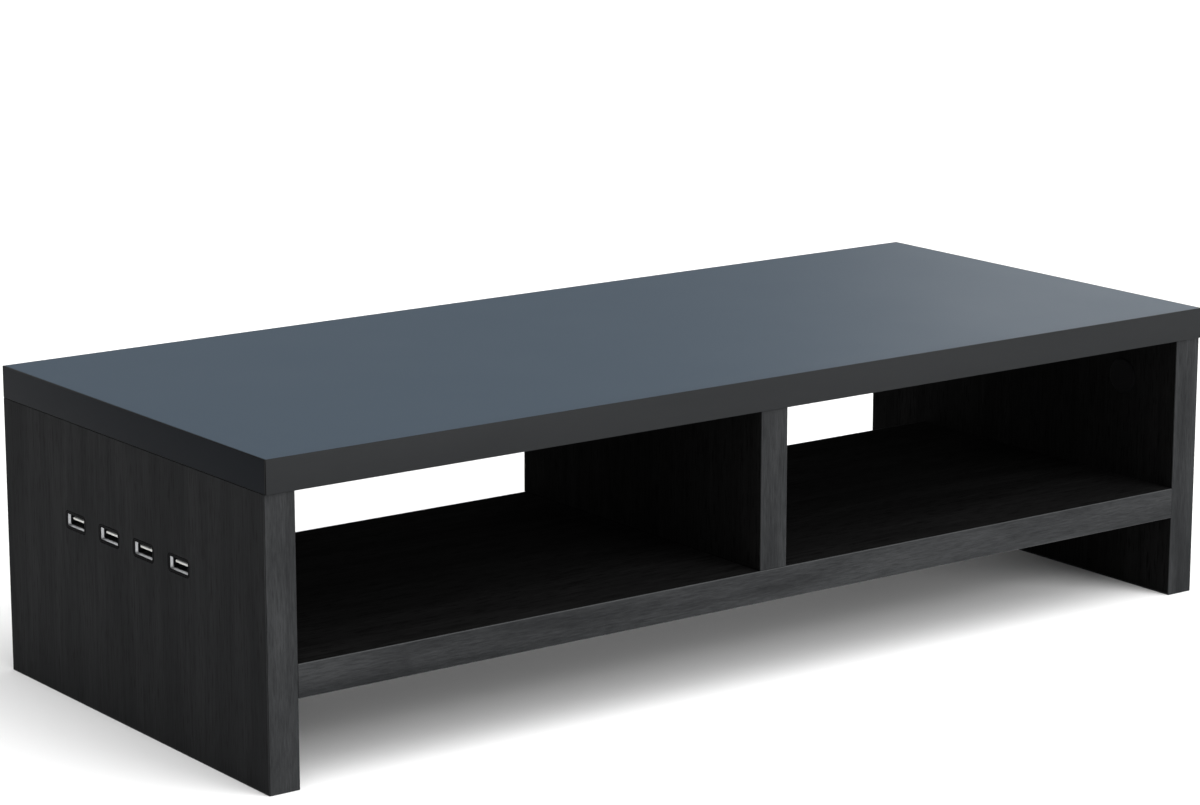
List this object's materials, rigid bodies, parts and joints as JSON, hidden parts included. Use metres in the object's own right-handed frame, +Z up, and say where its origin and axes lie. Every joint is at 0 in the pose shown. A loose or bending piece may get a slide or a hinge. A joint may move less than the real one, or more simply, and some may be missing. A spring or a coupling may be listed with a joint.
{
  "type": "monitor riser stand",
  "caption": "Two-tier desktop monitor riser: flat top on two side panels, a low shelf with a centre divider, an open back and data sockets in the left side.",
  "frame": {"origin": "on the desk surface, under the middle of the top panel's footprint", "axes": "+X to the right along the stand's length, +Y to the back, +Z up; the open front faces -Y"},
  "size_m": [0.54, 0.23, 0.145],
  "materials": {
    "slate_laminate": "melamine-faced particleboard, slate grey, satin",
    "black_laminate": "melamine-faced particleboard, black wood grain, satin",
    "black_band": "thin plastic edge band, black, embossed grain",
    "zinc": "zinc-plated",
    "beech": "plain beech dowel",
    "black_plastic": "moulded ABS, fine texture",
    "socket_steel": "nickel-plated pressed steel",
    "tongue_plastic": "moulded thermoplastic, white",
    "circuit_board": "glass-epoxy with green solder mask"
  },
  "bodies": {
    "root": {"divider_back_band": "black_band", "divider_front_band": "black_band", "divider_panel": "black_laminate", "divider_screw_back": "zinc", "divider_screw_front": "zinc", "dowel_divider_back": "beech", "dowel_divider_front": "beech", "dowel_top_left": "beech", "dowel_top_right": "beech", "hub_base_plate": "black_plastic", "hub_circuit_board": "circuit_board", "hub_cover": "black_plastic", "hub_inlet_socket": "socket_steel", "hub_screw_back": "zinc", "hub_screw_front": "zinc", "left_side_back_band": "black_band", "left_side_bottom_band": "black_band", "left_side_front_band": "black_band", "left_side_panel": "black_laminate", "port_shell_1": "socket_steel", "port_shell_2": "socket_steel", "port_shell_3": "socket_steel", "port_shell_4": "socket_steel", "port_tongue_1": "tongue_plastic", "port_tongue_2": "tongue_plastic", "port_tongue_3": "tongue_plastic", "port_tongue_4": "tongue_plastic", "right_side_back_band": "black_band", "right_side_bottom_band": "black_band", "right_side_front_band": "black_band", "right_side_panel": "black_laminate", "shelf_back_band": "black_band", "shelf_cam_bolt_left_back": "zinc", "shelf_cam_bolt_left_front": "zinc", "shelf_cam_bolt_right_back": "zinc", "shelf_cam_bolt_right_front": "zinc", "shelf_cam_left_back": "zinc", "shelf_cam_left_front": "zinc", "shelf_cam_right_back": "zinc", "shelf_cam_right_front": "zinc", "shelf_front_band": "black_band", "shelf_panel": "black_laminate", "top_back_band": "black_band", "top_cam_bolt_left_back": "zinc", "top_cam_bolt_left_front": "zinc", "top_cam_bolt_right_back": "zinc", "top_cam_bolt_right_front": "zinc", "top_cam_cap_left_back": "black_plastic", "top_cam_cap_left_front": "black_plastic", "top_cam_cap_right_back": "black_plastic", "top_cam_cap_right_front": "black_plastic", "top_cam_left_back": "zinc", "top_cam_left_front": "zinc", "top_cam_right_back": "zinc", "top_cam_right_front": "zinc", "top_front_band": "black_band", "top_left_band": "black_band", "top_panel": "slate_laminate", "top_right_band": "black_band"}
  },
  "joints": []
}
